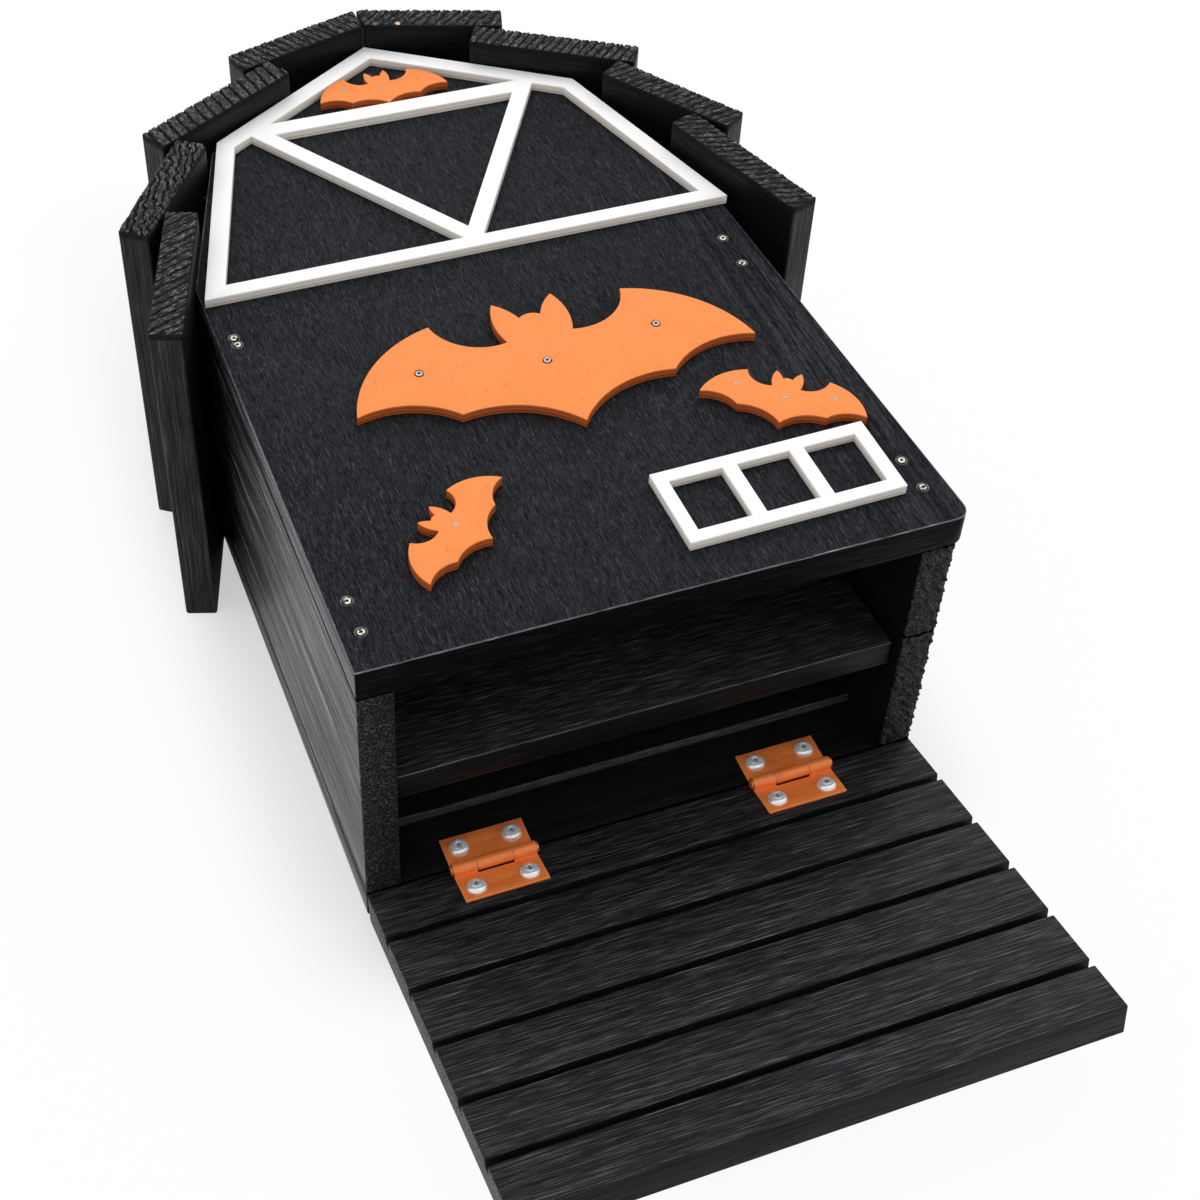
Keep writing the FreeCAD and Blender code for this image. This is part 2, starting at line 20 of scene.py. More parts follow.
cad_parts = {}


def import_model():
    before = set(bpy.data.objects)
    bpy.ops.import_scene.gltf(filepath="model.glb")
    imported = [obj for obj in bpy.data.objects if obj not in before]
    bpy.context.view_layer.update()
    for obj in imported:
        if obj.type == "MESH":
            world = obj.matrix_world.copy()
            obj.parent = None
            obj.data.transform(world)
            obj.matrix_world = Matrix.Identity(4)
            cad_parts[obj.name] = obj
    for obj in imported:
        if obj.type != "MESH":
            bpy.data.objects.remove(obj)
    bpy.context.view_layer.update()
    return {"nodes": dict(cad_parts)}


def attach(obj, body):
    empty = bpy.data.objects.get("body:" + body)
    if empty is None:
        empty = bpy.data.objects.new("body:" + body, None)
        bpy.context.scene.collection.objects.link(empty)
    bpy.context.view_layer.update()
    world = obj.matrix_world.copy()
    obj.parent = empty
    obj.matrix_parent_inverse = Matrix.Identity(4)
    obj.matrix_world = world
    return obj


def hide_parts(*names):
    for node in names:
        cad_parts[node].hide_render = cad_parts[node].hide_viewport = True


LOG = logging.getLogger("bat_box")
MM = 0.001
WELD = 0.002 * MM
FLAT_TURN = math.radians(0.4)
SHARP_TURN = math.radians(30.0)
UP = Vector((0.0, 0.0, 1.0))
WHITE = (1.0, 1.0, 1.0, 1.0)
RANGE_SOCKETS = ("Value", "From Min", "From Max", "To Min", "To Max")
NOISE_SOCKETS = ("Vector", "Scale", "Detail", "Roughness", "Distortion")
MIX_FACTOR, MIX_FIRST, MIX_SECOND, MIX_RESULT = 0, 6, 7, 2
Triple = tuple[float, float, float]
Colour = Triple
Number = Union["Shade", float]
FaceTest = Callable[[Vector, Vector], bool]
Piece = bpy.types.Object
Finish = bpy.types.Material


class Axis(Enum):
    """One of the frame's directions."""

    X = 0
    Y = 1
    Z = 2


def _operator(operation: str, swapped: bool = False) -> Callable[[Shade, Number], Shade]:
    """Makes one of Python's operators from a Math node's operation."""

    def apply(shade: Shade, other: Number) -> Shade:
        """Runs the operation on the two, with the other one first where swapped."""
        return shade.maths(operation, *((other, shade) if swapped else (shade, other)))

    return apply


class Shade:
    """A socket of a node tree, so that shader maths reads as Python."""

    def __init__(self, recipe: Recipe, socket: bpy.types.NodeSocket) -> None:
        """Keeps the socket and the recipe that it belongs to."""
        self.recipe = recipe
        self.socket = socket

    def maths(self, operation: str, *values: Number) -> Shade:
        """Adds a Math node.

        Args:
            operation: Blender's name of the operation.
            values: What goes into the node's sockets, in order.

        Returns:
            The node's value.
        """
        return self.recipe.node("Math", dict(enumerate(values)), {"operation": operation})

    __add__, __radd__ = _operator("ADD"), _operator("ADD", swapped=True)
    __sub__, __rsub__ = _operator("SUBTRACT"), _operator("SUBTRACT", swapped=True)
    __mul__, __rmul__ = _operator("MULTIPLY"), _operator("MULTIPLY", swapped=True)
    __truediv__, __pow__ = _operator("DIVIDE"), _operator("POWER")

    def between(self, low: float, high: float) -> Shade:
        """Rises smoothly from 0 at low to 1 at high, and falls where low is the larger."""
        ends = (0.0, 1.0) if low < high else (1.0, 0.0)
        values = dict(zip(RANGE_SOCKETS, (self, min(low, high), max(low, high), *ends)))
        return self.recipe.node("MapRange", values, {"interpolation_type": "SMOOTHSTEP"})


class Recipe:
    """The node tree of one material or world."""

    def __init__(self, owner: Finish | bpy.types.World) -> None:
        """Starts an empty tree on a new material or world."""
        self.owner = owner
        owner.use_nodes = True
        self.tree = owner.node_tree
        self.tree.nodes.clear()

    def node(
        self,
        kind: str,
        inputs: Mapping[Union[str, int], object] | None = None,
        settings: Mapping[str, object] | None = None,
        output: Union[str, int] = 0,
    ) -> Shade:
        """Adds one node.

        Args:
            kind: Blender's type name of the node, without ShaderNode.
            inputs: Values or links by socket name or number.
            settings: The node's own options, set before its sockets.
            output: Which of its sockets comes back.

        Returns:
            That output socket.
        """
        made = self.tree.nodes.new(f"ShaderNode{kind}")
        for option, value in (settings or {}).items():
            setattr(made, option, value)
        for place, value in (inputs or {}).items():
            socket = made.inputs[place]
            if isinstance(value, Shade):
                self.tree.links.new(value.socket, socket)
            else:
                socket.default_value = value
        return Shade(self, made.outputs[output])

    def place(self, scale: Triple = (1.0, 1.0, 1.0), turn: Triple | None = None) -> Shade:
        """Object coordinates, turned where asked and then scaled along the turned axes."""
        spot = self.node("TexCoord", output="Object")
        if turn is not None:
            spot = self.node("Mapping", {"Vector": spot, "Rotation": turn})
        return self.node("Mapping", {"Vector": spot, "Scale": scale})

    def part(self, vector: Shade, axis: Axis) -> Shade:
        """One component of a vector."""
        return self.node("SeparateXYZ", {0: vector}, output=axis.value)

    def noise(
        self, spot: Shade, scale: float = 1.0, detail: float = 3.0, rough: float = 0.55,
        warp: float = 0.0,
    ) -> Shade:
        """Fractal noise from 0 to 1."""
        values = dict(zip(NOISE_SOCKETS, (spot, scale, detail, rough, warp)))
        return self.node("TexNoise", values, output="Fac")

    def blend(self, mask: Number, first: object, second: object) -> Shade:
        """The first colour where the mask is 0 and the second where it is 1."""
        picks = {MIX_FACTOR: mask, MIX_FIRST: self._paint(first), MIX_SECOND: self._paint(second)}
        return self.node("Mix", picks, {"data_type": "RGBA"}, MIX_RESULT)

    @staticmethod
    def _paint(value: object) -> object:
        """A colour of three numbers gets its alpha; a link stays as it is."""
        return value if isinstance(value, Shade) else (*value, 1.0)

    def bump(self, height: Shade, depth: float) -> Shade:
        """A normal from a height of 0 to 1 that stands for a real depth."""
        values = {"Height": height, "Distance": depth, "Strength": 1.0}
        return self.node("Bump", values)

    def finish(self, **sockets: object) -> Finish:
        """Ends the tree in the standard surface shader.

        Args:
            sockets: The shader's sockets, with _ for a space in their names.

        Returns:
            The material.
        """
        values = {}
        for name, value in sockets.items():
            key = name.replace("_", " ").title().replace("Ior", "IOR")
            values[key] = self._paint(value) if key == "Base Color" else value
        self.show(self.node("BsdfPrincipled", values))
        return self.owner

    def show(self, surface: Shade, kind: str = "Material") -> None:
        """Links a surface to the output of the material or world."""
        last = self.tree.nodes.new(f"ShaderNodeOutput{kind}")
        self.tree.links.new(surface.socket, last.inputs["Surface"])


@dataclass(frozen=True)
class BlackStain:
    """Wire-brushed softwood under black stain, with fine fibres along one axis.

    The fibre's three numbers are its width, its length and its relief in millimetres. The
    worn colour on the light fibres is partly wear and partly painted highlight and sheen.
    """

    name: str
    along: Axis
    fibre: Triple
    tone: Colour
    worn_and_highlight: Colour
    pit: Colour = (0.0018, 0.0018, 0.0022)
    roughness: float = 0.46
    gloss: float = 0.22
    even: float = 0.0
    across: bool = False
    lined_beyond: float | None = None
    line_fade: float = 20.0 * MM
    line_scale: Triple = (420.0, 9.0, 420.0)

    def material(self) -> Finish:
        """Builds the stain: fine fibres, growth streaks, torn pits and a slow change of tone, with
        painted highlight in the light fibres.
        """
        recipe = Recipe(bpy.data.materials.new(f"black_stain_{self.name}"))
        fibre = recipe.noise(recipe.place(self._scale(1.0)), detail=2.0, rough=0.7)
        hair = recipe.noise(recipe.place(self._scale(0.6)), detail=1.0)
        streak = recipe.noise(recipe.place(self._scale(4.5)), detail=2.0, rough=0.6)
        patch = recipe.noise(recipe.place(), scale=14.0, detail=2.0)
        share = (1.0 - self.even) * (0.25 + 1.5 * streak.between(0.38, 0.68)) + 0.85 * self.even
        # painted highlight: the light fibres and hairs take the worn colour, partly wear and partly
        # painted highlight
        light = fibre.between(0.52, 0.74) * share * (0.45 + patch)
        light = light + 0.6 * hair.between(0.56, 0.74) * (0.4 + 0.8 * streak)
        dark = fibre.between(0.47, 0.33) * 0.95
        if self.lined_beyond is not None:
            side = recipe.part(recipe.place(), Axis.X)
            beyond = side.between(self.lined_beyond, self.lined_beyond + self.line_fade)
            rings = recipe.noise(recipe.place(self.line_scale), detail=2.0, rough=0.6, warp=0.4)
            light = light + beyond * rings.between(0.52, 0.60) * rings.between(0.68, 0.60) * 0.25
            dark = dark + beyond * rings.between(0.46, 0.40) * 0.45
        height = fibre * 0.55 + streak * 0.25 + hair * 0.2
        return recipe.finish(
            base_color=recipe.blend(dark, recipe.blend(light, self.tone, self.worn_and_highlight), self.pit),
            roughness=self.roughness + 0.35 * dark + 0.10 * (patch - 0.5),
            specular_ior_level=self.gloss,
            normal=recipe.bump(height, self.fibre[2] * MM),
        )

    def _scale(self, coarser: float) -> Triple:
        """Noise scale per axis, for fibres made wider and longer by a factor."""
        fine, coarse = (1.0 / (size * MM * coarser) for size in self.fibre[:2])
        scale = [coarse if self.across else fine] * 3
        scale[self.along.value] = fine if self.across else coarse
        return (scale[0], scale[1], scale[2])


BOARD_STAINS = (
    BlackStain(
        "front", Axis.Y, (0.42, 5.0, 0.5), (0.0088, 0.0100, 0.0120), (0.060, 0.066, 0.077),
        (0.0008, 0.0009, 0.0012), gloss=0.07, even=0.6, lined_beyond=104.0 * MM,
    ),
    BlackStain(
        "inside", Axis.X, (0.9, 40.0, 0.3), (0.004, 0.004, 0.0045), (0.014, 0.014, 0.015),
        gloss=0.15,
    ),
    # the walls' outer sides: their bright light fibres are mostly painted sheen
    BlackStain(
        "wall", Axis.Y, (2.0, 110.0, 1.2), (0.0070, 0.0072, 0.0082), (0.36, 0.367, 0.39),
        roughness=0.25, gloss=0.5, even=0.6,
    ),
    BlackStain(
        "brushed", Axis.X, (0.50, 28.0, 0.7), (0.0030, 0.0031, 0.0036), (0.125, 0.129, 0.140),
        gloss=0.2, even=0.92,
    ),
    BlackStain(
        "flap_end", Axis.X, (0.9, 0.9, 0.6), (0.010, 0.0102, 0.011), (0.36, 0.363, 0.38),
        gloss=0.4, even=0.8,
    ),
    # painted shade in the joints: on the walls' eased edges and on strips along their outer sides
    BlackStain(
        "seam", Axis.Y, (0.9, 20.0, 0.2), (0.0010, 0.0010, 0.0012), (0.004, 0.004, 0.0045),
        roughness=0.9, gloss=0.0,
    ),
    # the front's upper eased edges: wear with a painted highlight
    BlackStain(
        "bright_edge", Axis.X, (0.8, 12.0, 0.2), (0.075, 0.077, 0.082), (0.32, 0.325, 0.34),
        gloss=0.5, even=0.3,
    ),
    BlackStain(
        "dull_end", Axis.X, (0.8, 18.0, 0.3), (0.0022, 0.0022, 0.0025), (0.014, 0.0145, 0.016),
        gloss=0.04,
    ),
    BlackStain(
        "wall_end", Axis.Y, (1.1, 1.1, 1.2), (0.0045, 0.0047, 0.0054), (0.14, 0.143, 0.154),
        gloss=0.14, even=0.4,
    ),
    # eased edges of the partition and the liner: wear with a painted highlight
    BlackStain(
        "rubbed_edge", Axis.X, (0.8, 20.0, 0.2), (0.042, 0.043, 0.046), (0.13, 0.133, 0.14),
        gloss=0.4,
    ),
)
ROOF_STAINS = (
    BlackStain(
        "upright", Axis.Z, (0.8, 40.0, 0.4), (0.0065, 0.0068, 0.0078), (0.06, 0.062, 0.068),
        gloss=0.2,
    ),
    BlackStain(
        "roof_inside", Axis.Z, (1.0, 40.0, 0.3), (0.0028, 0.0028, 0.0032), (0.013, 0.013, 0.0145),
        gloss=0.16, across=True,
    ),
    # the roof boards' eased edges: wear with a painted highlight
    BlackStain(
        "roof_edge", Axis.Z, (0.8, 20.0, 0.3), (0.030, 0.0305, 0.033), (0.20, 0.203, 0.215),
        gloss=0.3,
    ),
)


@dataclass(frozen=True)
class SawnEnd:
    """Black stain on sawn end grain: grey chips on the hard rings, partly painted highlight, and
    painted shade, black, in the torn grooves.
    """

    node: str
    ring_angle: float
    relief: float
    level: float = 205.25 * MM
    chip_size: Triple = (2.4 * MM, 0.7 * MM, 2.0 * MM)
    tone: Colour = (0.011, 0.0115, 0.013)
    # grey of the chips on the raised rings: partly painted highlight
    chip: Colour = (0.30, 0.305, 0.325)
    groove_shade: Colour = (0.0010, 0.0010, 0.0012)
    splinter: Triple = (20.3 * MM, 327.5 * MM, 205.0 * MM)
    splinter_reach: tuple[float, float] = (1.7 * MM, 1.3 * MM)
    bare: Colour = (0.72, 0.50, 0.34)

    def material(self) -> Finish:
        """Builds the stain, with painted shade that darkens it the deeper the wood lies, and one
        splinter of bare wood.
        """
        recipe = Recipe(bpy.data.materials.new(f"black_stain_end_{self.node}"))
        spot = recipe.place()
        turn = (0.0, 0.0, -math.radians(self.ring_angle))
        along = recipe.place(tuple(1.0 / size for size in self.chip_size), turn)
        depth = (self.level - recipe.part(spot, Axis.Z)) / self.relief
        chips = recipe.noise(along, detail=3.0, rough=0.7)
        pores = recipe.noise(spot, scale=1000.0, detail=3.0)
        patch = recipe.noise(spot, scale=70.0, detail=2.0)
        colour = recipe.blend(chips.between(0.49, 0.69) * (1.7 * patch - 0.2), self.tone, self.chip)
        # painted shade: black where the chip noise sinks and where the wood lies deep
        colour = recipe.blend(chips.between(0.47, 0.37) * 0.95, colour, self.groove_shade)
        colour = recipe.blend(depth.between(0.22, 0.55), colour, self.groove_shade)
        ends = {0: spot, 1: self.splinter}
        away = recipe.node("VectorMath", ends, {"operation": "DISTANCE"}, "Value")
        return recipe.finish(
            base_color=recipe.blend(away.between(*self.splinter_reach), colour, self.bare),
            roughness=0.38 + 0.3 * depth.between(0.2, 0.9) + 0.3 * (pores - 0.5),
            specular_ior_level=0.2,
            normal=recipe.bump(chips * 0.6 + pores * 0.4, 0.5 * MM),
        )


@dataclass(frozen=True)
class TrimPaint:
    """Matt paint on a thin plywood cut-out, with the glue lines showing on its edge."""

    name: str
    face: Colour
    edge: Colour
    line: Colour
    mark: Colour
    marks: float
    back: float = 185.0 * MM
    thickness: float = 5.5 * MM

    def material(self) -> Finish:
        """Builds the paint: flecks and faint grain on the face, plies on the edge."""
        recipe = Recipe(bpy.data.materials.new(self.name))
        spot = recipe.place()
        level = (recipe.part(spot, Axis.Z) - self.back) / self.thickness
        grain = recipe.noise(recipe.place((900.0, 120.0, 900.0)), detail=3.0)
        pores = recipe.noise(recipe.place((1500.0, 90.0, 1500.0)), detail=1.0)
        specks = recipe.noise(spot, scale=700.0, detail=1.0)
        mottle = recipe.noise(spot, scale=60.0, detail=3.0)
        plies = recipe.noise(recipe.place((40.0, 40.0, 1400.0)), detail=2.0)
        ply = level.between(0.60, 0.68) * level.between(0.80, 0.72)
        ply = ply + level.between(0.20, 0.28) * level.between(0.42, 0.34)
        ply = ply + 0.5 * plies.between(0.5, 0.7)
        marks = pores.between(0.70, 0.80) + 0.6 * specks.between(0.74, 0.80)
        face = recipe.blend(marks * self.marks + 0.18 * (mottle - 0.36), self.face, self.mark)
        edge = recipe.blend(ply * (0.35 + 0.7 * grain), self.edge, self.line)
        height = grain * 0.5 + mottle * 0.3 + pores * 0.2
        return recipe.finish(
            base_color=recipe.blend(level.between(0.965, 0.90), face, edge),
            roughness=0.62 + 0.12 * (grain - 0.5),
            specular_ior_level=0.3,
            normal=recipe.bump(height, 0.08 * MM),
        )


@dataclass(frozen=True)
class BrushedCopper:
    """Brushed copper-coloured plating on a pressed hinge leaf."""

    name: str
    tone: Colour = (0.98, 0.245, 0.052)
    dark: Colour = (0.60, 0.125, 0.022)
    roughness: float = 0.30
    axis: tuple[float, float] = (-140.946 * MM, 21.6 * MM)
    barrel: float = 3.0 * MM
    barrel_fade: float = 0.4 * MM

    def material(self) -> Finish:
        """Builds the plating: lines brushed along X, soft stains and a brighter barrel."""
        recipe = Recipe(bpy.data.materials.new(self.name))
        lines = recipe.noise(recipe.place((160.0, 2600.0, 2600.0)), detail=2.0)
        stain = recipe.noise(recipe.place(), scale=130.0, detail=4.0)
        spot = recipe.place()
        along, rise = (recipe.part(spot, way) - at for way, at in zip((Axis.Y, Axis.Z), self.axis))
        away = (along * along + rise * rise) ** 0.5
        stained = stain.between(0.50, 0.72) * 0.35 + 0.2 * lines.between(0.4, 0.65)
        barrel = away.between(self.barrel + self.barrel_fade, self.barrel)
        return recipe.finish(
            base_color=recipe.blend(stained, self.tone, self.dark),
            metallic=0.08 + 0.40 * barrel,
            roughness=self.roughness + 0.18 * (lines - 0.5) + 0.14 * stain.between(0.4, 0.7),
            normal=recipe.bump(lines, 0.03 * MM),
        )


@dataclass(frozen=True)
class BarePlate:
    """Plated or bare steel of a screw or a brad."""

    name: str
    tone: Colour
    roughness: float
    metallic: float = 1.0
    stained: float = 0.0
    stain: Colour = (0.012, 0.012, 0.013)

    def material(self) -> Finish:
        """Builds the metal, with fine scratches and what black stain has run over it."""
        recipe = Recipe(bpy.data.materials.new(self.name))
        scratch = recipe.noise(recipe.place(), scale=2400.0, detail=3.0)
        scratched = tuple(0.55 * channel for channel in self.tone)
        shade = recipe.blend(scratch.between(0.55, 0.8) * 0.35, self.tone, scratched)
        splash = recipe.noise(recipe.place(), scale=420.0, detail=2.0)
        return recipe.finish(
            base_color=recipe.blend(splash.between(0.56, 0.60) * self.stained, shade, self.stain),
            metallic=self.metallic,
            roughness=self.roughness + 0.12 * (scratch - 0.5),
            normal=recipe.bump(scratch, 0.01 * MM),
        )


@dataclass(frozen=True)
class Studio:
    """White floor, soft lamps and the camera of the photograph."""

    eye: Triple = (-0.305138, -0.736415, 0.893677)
    azimuth: float = -24.4317
    elevation: float = 46.8351
    roll: float = 3.9765
    lens: float = 63.441
    sensor: float = 36.0
    sky: float = 0.95
    front_sky: float = 0.82
    lamp_spot: Triple = (0.45, 0.6, 2.0)
    lamp_aim: Triple = (0.0, 0.0, 0.1)
    lamp_size: tuple[float, float] = (3.0, 2.4)
    lamp_power: float = 18.0
    floor_size: float = 14.0
    foot_half_width: float = 0.147
    foot_middle: float = 0.155
    foot_half_length: float = 0.295
    floor_paint: tuple[Colour, Colour] = ((0.87, 0.87, 0.88), (0.89, 0.89, 0.90))
    glow: float = 0.5
    glow_gain: float = 0.44
    glow_reach: tuple[float, float] = (0.005, 0.075)

    def build(self) -> None:
        """Sets the stage round the object."""
        self.camera()
        self.floor()
        self.world()
        self.softbox()
        bpy.context.scene.view_settings.view_transform = "Standard"

    def camera(self) -> None:
        """Puts the camera where the photograph was taken from."""
        data = bpy.data.cameras.new("view")
        data.lens, data.sensor_width = self.lens, self.sensor
        data.clip_start, data.clip_end = 0.01, 50.0
        turn, rise, roll = map(math.radians, (self.azimuth, self.elevation, self.roll))
        level = math.cos(rise)
        back = Vector((math.sin(turn) * level, -math.cos(turn) * level, math.sin(rise)))
        right = UP.cross(back).normalized()
        up = back.cross(right)
        side = math.cos(roll) * right + math.sin(roll) * up
        top = -math.sin(roll) * right + math.cos(roll) * up
        facing = Matrix((side, top, back)).transposed().to_4x4()
        camera = bpy.data.objects.new("view", data)
        camera.matrix_world = Matrix.Translation(self.eye) @ facing
        bpy.context.scene.collection.objects.link(camera)
        bpy.context.scene.camera = camera

    def softbox(self) -> None:
        """Hangs a rectangular lamp that faces the middle of the box."""
        data = bpy.data.lights.new("overhead_softbox", "AREA")
        data.shape, data.energy = "RECTANGLE", self.lamp_power
        data.size, data.size_y = self.lamp_size
        lamp = bpy.data.objects.new("overhead_softbox", data)
        lamp.location = self.lamp_spot
        aim = Vector(self.lamp_aim) - Vector(self.lamp_spot)
        lamp.rotation_euler = aim.to_track_quat("-Z", "Y").to_euler()
        bpy.context.scene.collection.objects.link(lamp)

    def floor(self) -> None:
        """Lays a white floor that keeps the object's shadow only close to it: the floor glows white
        to the camera, more the farther it lies from the box, which paints the shadow out.
        """
        deselect()
        bpy.ops.mesh.primitive_grid_add(
            x_subdivisions=8, y_subdivisions=8, size=self.floor_size, location=(0.0, 0.0, 0.0)
        )
        floor = bpy.context.object
        floor.name = "floor"
        recipe = Recipe(bpy.data.materials.new("floor_white"))
        grain = recipe.noise(recipe.place(), scale=30.0)
        spot = recipe.place()
        beside = self._past(recipe.part(spot, Axis.X), self.foot_half_width)
        before = self._past(recipe.part(spot, Axis.Y) - self.foot_middle, self.foot_half_length)
        reach = (beside * beside + before * before) ** 0.5
        paint = recipe.blend(grain, *self.floor_paint)
        matt = recipe.node("BsdfDiffuse", {"Color": paint})
        glow = recipe.node("Emission", {"Color": WHITE, "Strength": 1.0})
        seen = recipe.node("LightPath", output="Is Camera Ray")
        # painted light: the camera-only glow rises with the distance from the box's footprint
        share = self.glow + self.glow_gain * reach.between(*self.glow_reach)
        recipe.show(recipe.node("MixShader", {0: seen * share, 1: matt, 2: glow}))
        floor.data.materials.append(recipe.owner)

    @staticmethod
    def _past(value: Shade, half: float) -> Shade:
        """How far a value lies outside plus or minus a half width."""
        outside = value.maths("ABSOLUTE", value) - half
        return outside.maths("MAXIMUM", outside, 0.0)

    def world(self) -> None:
        """Gives soft sky light, weaker from the flap's side, and plain white past the floor."""
        sky = Recipe(bpy.data.worlds.new("sky"))
        bpy.context.scene.world = sky.owner
        way = sky.part(sky.node("TexCoord", output="Generated"), Axis.Y)
        values = dict(zip(RANGE_SOCKETS, (way, -0.9, 0.1, self.front_sky, self.sky)))
        fade = sky.node("MapRange", values)
        tint = {"Color": (0.97, 0.98, 1.0, 1.0), "Strength": fade}
        plain = sky.node("Background", tint)
        white = sky.node("Background", {"Color": WHITE})
        seen = sky.node("LightPath", output="Is Camera Ray")
        mixed = sky.node("MixShader", {0: seen, 1: plain, 2: white})
        sky.show(mixed, "World")


def deselect() -> None:
    """Leaves edit mode and selects nothing."""
    if bpy.context.object is not None and bpy.context.object.mode != "OBJECT":
        bpy.ops.object.mode_set(mode="OBJECT")
    bpy.ops.object.select_all(action="DESELECT")


def take(piece: Piece) -> None:
    """Makes a piece active and alone in the selection."""
    deselect()
    bpy.context.view_layer.objects.active = piece
    piece.select_set(True)


def coat(node: Piece, material: Finish) -> None:
    """Puts one material on every slot of a node that keeps its CAD shape."""
    if not node.material_slots:
        node.data.materials.append(material)
    for place in node.material_slots:
        place.link = "OBJECT"
        place.material = material


def open_all() -> None:
    """Opens the active piece in edit mode with all of it selected."""
    bpy.ops.object.mode_set(mode="EDIT")
    bpy.ops.mesh.select_all(action="SELECT")


def close() -> None:
    """Leaves edit mode."""
    bpy.ops.object.mode_set(mode="OBJECT")


def slice_all(spot: Triple, way: Vector) -> None:
    """Cuts the whole of the opened piece by a plane."""
    bpy.ops.mesh.select_all(action="SELECT")
    bpy.ops.mesh.bisect(plane_co=spot, plane_no=way)


def merged_copy(node: Piece, name: str) -> Piece:
    """Starts a piece from a CAD node's shape, with its loose triangles joined into plain faces.

    Args:
        node: The CAD node, which is left alone.
        name: Name of the new piece.

    Returns:
        The piece, active and alone in the selection.
    """
    deselect()
    piece = bpy.data.objects.new(name, node.data.copy())
    bpy.context.scene.collection.objects.link(piece)
    piece.data.materials.clear()
    take(piece)
    bpy.ops.mesh.customdata_custom_splitnormals_clear()
    open_all()
    bpy.ops.mesh.remove_doubles(threshold=WELD)
    bpy.ops.mesh.dissolve_limited(angle_limit=FLAT_TURN)
    close()
    return piece


def round_edges(piece: Piece, width: float, strip_slot: int) -> None:
    """Rounds every sharp edge.

    Args:
        piece: The active piece.
        width: How far the rounding reaches on each side.
        strip_slot: Material slot of the rounded strips.
    """
    bevel = piece.modifiers.new("worn_edges", "BEVEL")
    bevel.width, bevel.segments, bevel.material = width, 2, strip_slot
    bevel.limit_method, bevel.angle_limit = "ANGLE", SHARP_TURN
    bevel.use_clamp_overlap = False
    bpy.ops.object.modifier_apply(modifier=bevel.name)


def smooth(piece: Piece, under: float = 35.0) -> None:
    """Shades smooth across edges that turn by less than an angle in degrees."""
    take(piece)
    bpy.ops.object.shade_smooth_by_angle(angle=math.radians(under))


def hand_over(piece: Piece, node: str, body: str) -> None:
    """Lets a piece stand for a CAD node and ride on a body."""
    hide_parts(node)
    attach(piece, body)
    LOG.info("built %s", piece.name)


def pick_faces(piece: Piece, test: FaceTest) -> None:
    """Selects, in edit mode, the faces whose centre and normal pass a test."""
    shape = bmesh.from_edit_mesh(piece.data)
    shape.select_mode = {"FACE"}
    for face in shape.faces:
        face.select_set(test(face.calc_center_median(), face.normal))
    shape.select_flush_mode()
    bmesh.update_edit_mesh(piece.data)


def dress(piece: Piece, slot: int, test: FaceTest) -> None:
    """Gives a material slot to the faces whose centre and normal pass a test."""
    for face in piece.data.polygons:
        if test(face.center, face.normal):
            face.material_index = slot


def cut_cells(
    piece: Piece, spots: Sequence[Vector], ways: Sequence[Vector], cell: float, test: FaceTest
) -> None:
    """Cuts, in edit mode, the faces that pass a test into small cells.

    Args:
        piece: The active piece.
        spots: Points between whose ends the cells are counted.
        ways: Directions that the cuts follow one after the other.
        cell: Size of a cell.
        test: Which faces are cut, by their centre and normal.
    """
    for way in ways:
        reach = [spot.dot(way) for spot in spots]
        for step in range(1, int((max(reach) - min(reach)) / cell)):
            pick_faces(piece, test)
            bpy.ops.mesh.bisect(plane_co=way * (min(reach) + step * cell), plane_no=way)


def displace(
    piece: Piece, group: str, axis: Axis, texture: bpy.types.Texture, facing: Quaternion,
    size: Sequence[float], depth: float, level: float = 1.0,
) -> None:
    """Moves a vertex group along an axis by a texture.

    Args:
        piece: The active piece.
        group: Name of the vertex group.
        axis: Which way the vertices move.
        texture: What they move by.
        facing: How the texture is turned in the piece's space.
        size: How far it is drawn out along each of its axes.
        depth: How far white lies from black.
        level: The shade that doesn't move.
    """
    guide = bpy.data.objects.new("grain_guide", None)
    guide.matrix_world = Matrix.LocRotScale(None, facing, Vector(size))
    bpy.context.scene.collection.objects.link(guide)
    bpy.context.view_layer.update()
    carve = piece.modifiers.new("carve", "DISPLACE")
    carve.texture, carve.texture_coords, carve.texture_coords_object = texture, "OBJECT", guide
    carve.direction, carve.strength, carve.mid_level = axis.name, depth, level
    carve.vertex_group = group
    bpy.ops.object.modifier_apply(modifier=carve.name)
    bpy.data.objects.remove(guide)


class RingGrain(Enum):
    """How the growth rings cross the sawn end of a roof board."""

    STRAIGHT = 1.2
    WAVY = 2.6
    KNOTTY = 7.0


